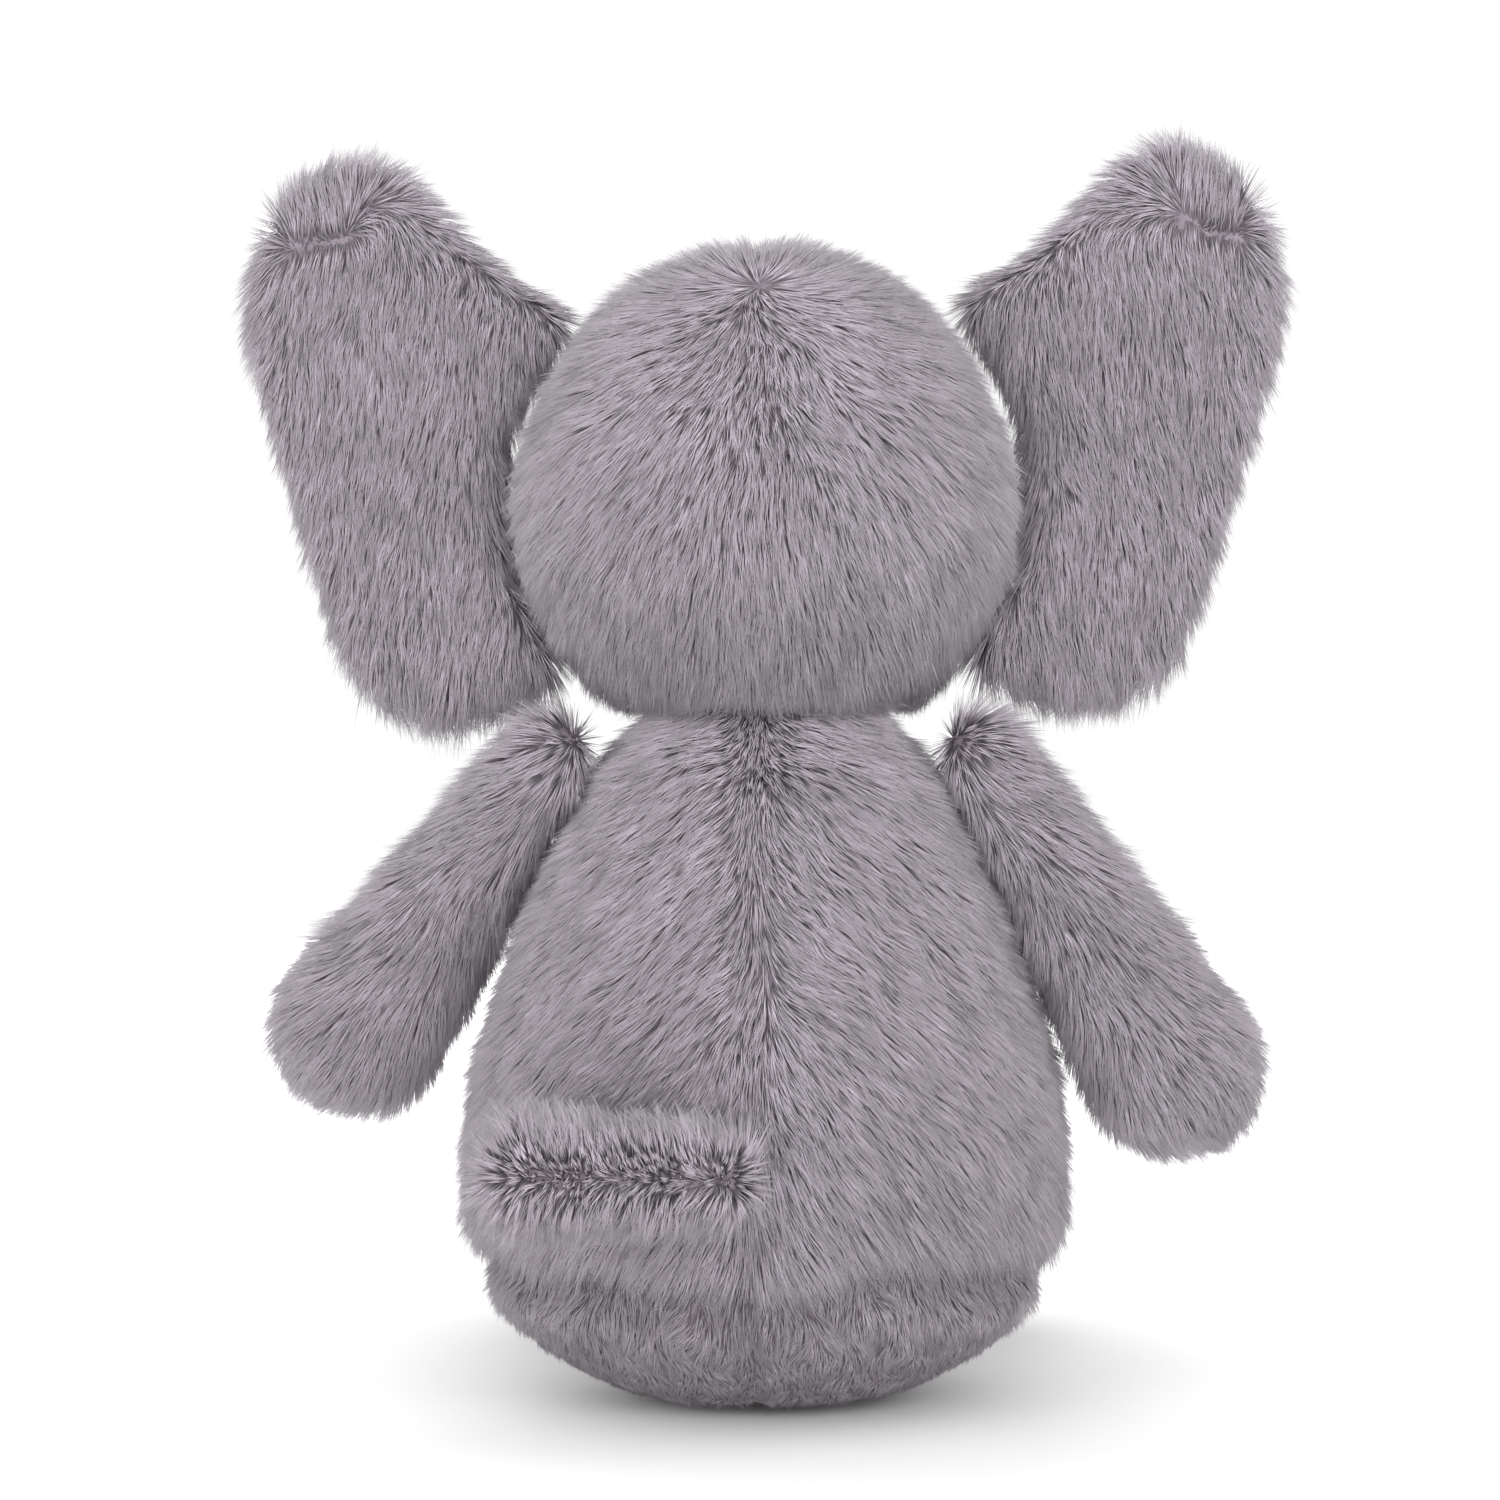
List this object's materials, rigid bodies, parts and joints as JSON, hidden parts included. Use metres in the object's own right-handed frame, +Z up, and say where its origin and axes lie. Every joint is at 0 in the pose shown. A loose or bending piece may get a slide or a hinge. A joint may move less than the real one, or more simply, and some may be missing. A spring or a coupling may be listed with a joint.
{
  "type": "stuffed elephant",
  "caption": "Seated plush elephant in long grey faux fur, with floppy ears, a curling trunk, swinging limbs and tail, and a weighted seat.",
  "frame": {"origin": "centre of the flat of the seat, on the surface that the toy sits on", "axes": "+Z up through the body and head; -Y is the way that the elephant faces; +X is the elephant's left"},
  "size_m": [0.2558, 0.2423, 0.3013],
  "materials": {
    "faux_fur": "long matte pile",
    "ear_lining": "short soft plush",
    "sole_plush": "short soft plush",
    "polyester_fill": "loose white fibre",
    "pouch_cloth": "thin non-woven cloth",
    "pellets": "translucent beads",
    "eye_plastic": "polished black",
    "washer_plastic": "moulded white"
  },
  "bodies": {
    "torso": {"base_panel": "faux_fur", "bean_pellets": "pellets", "bean_pouch": "pouch_cloth", "torso_back_left": "faux_fur", "torso_back_right": "faux_fur", "torso_belly": "faux_fur", "torso_stuffing": "polyester_fill"},
    "neck": {"neck_plug": "polyester_fill"},
    "head": {"chin_panel": "faux_fur", "eye_left": "eye_plastic", "eye_right": "eye_plastic", "eye_washer_left": "washer_plastic", "eye_washer_right": "washer_plastic", "face_left": "faux_fur", "face_right": "faux_fur", "forehead_gusset": "faux_fur", "head_back_left": "faux_fur", "head_back_right": "faux_fur", "head_stuffing": "polyester_fill", "trunk_root_skin": "faux_fur", "trunk_root_stuffing": "polyester_fill"},
    "trunk_middle": {"trunk_middle_skin": "faux_fur", "trunk_middle_stuffing": "polyester_fill"},
    "trunk_tip": {"trunk_tip_skin": "faux_fur", "trunk_tip_stuffing": "polyester_fill"},
    "ear_left": {"ear_left_inner_panel": "ear_lining", "ear_left_outer_panel": "faux_fur", "ear_left_wadding": "polyester_fill"},
    "ear_right": {"ear_right_inner_panel": "ear_lining", "ear_right_outer_panel": "faux_fur", "ear_right_wadding": "polyester_fill"},
    "arm_left": {"arm_left_inner_panel": "faux_fur", "arm_left_outer_panel": "faux_fur", "arm_left_stuffing": "polyester_fill"},
    "arm_right": {"arm_right_inner_panel": "faux_fur", "arm_right_outer_panel": "faux_fur", "arm_right_stuffing": "polyester_fill"},
    "leg_left": {"leg_left_sole": "sole_plush", "leg_left_stuffing": "polyester_fill", "leg_left_top_panel": "faux_fur", "leg_left_under_panel": "faux_fur"},
    "leg_right": {"leg_right_sole": "sole_plush", "leg_right_stuffing": "polyester_fill", "leg_right_top_panel": "faux_fur", "leg_right_under_panel": "faux_fur"},
    "tail": {"tail_skin": "faux_fur", "tail_stuffing": "polyester_fill"}
  },
  "joints": [
    {"name": "neck_turn", "type": "hinge", "parent": "torso", "child": "neck", "pos_m": [0, 0, 0.15], "axis": [0, 0, 1], "range_deg": [-30, 30]},
    {"name": "head_nod", "type": "hinge", "parent": "neck", "child": "head", "pos_m": [0, 0, 0.15], "axis": [-1, 0, 0], "range_deg": [-12, 12]},
    {"name": "trunk_curl", "type": "hinge", "parent": "head", "child": "trunk_middle", "pos_m": [0, -0.07837, 0.18484], "axis": [-1, 0, 0], "range_deg": [-20, 40]},
    {"name": "trunk_tip_curl", "type": "hinge", "parent": "trunk_middle", "child": "trunk_tip", "pos_m": [0, -0.0993, 0.15804], "axis": [-1, 0, 0], "range_deg": [-20, 40]},
    {"name": "ear_left_flap", "type": "hinge", "parent": "head", "child": "ear_left", "pos_m": [0.067, -0.015, 0.232], "axis": [0, 0, -1], "range_deg": [-25, 50]},
    {"name": "ear_right_flap", "type": "hinge", "parent": "head", "child": "ear_right", "pos_m": [-0.067, -0.015, 0.232], "axis": [0, 0, 1], "range_deg": [-25, 50]},
    {"name": "arm_left_swing", "type": "hinge", "parent": "torso", "child": "arm_left", "pos_m": [0.05151, 0.006, 0.155], "axis": [-1, 0, 0], "range_deg": [-20, 45]},
    {"name": "arm_right_swing", "type": "hinge", "parent": "torso", "child": "arm_right", "pos_m": [-0.05151, 0.006, 0.155], "axis": [-1, 0, 0], "range_deg": [-20, 45]},
    {"name": "leg_left_swing", "type": "hinge", "parent": "torso", "child": "leg_left", "pos_m": [0.034, -0.071, 0.036], "axis": [-1, 0, 0], "range_deg": [-30, 45]},
    {"name": "leg_right_swing", "type": "hinge", "parent": "torso", "child": "leg_right", "pos_m": [-0.034, -0.071, 0.036], "axis": [-1, 0, 0], "range_deg": [-30, 45]},
    {"name": "tail_swing", "type": "hinge", "parent": "torso", "child": "tail", "pos_m": [0.01, 0.0819, 0.062], "axis": [0, 0, 1], "range_deg": [0, 165]}
  ],
  "couplings": [
    {"joint": "trunk_tip_curl", "follows": "trunk_curl", "ratio": 1}
  ]
}
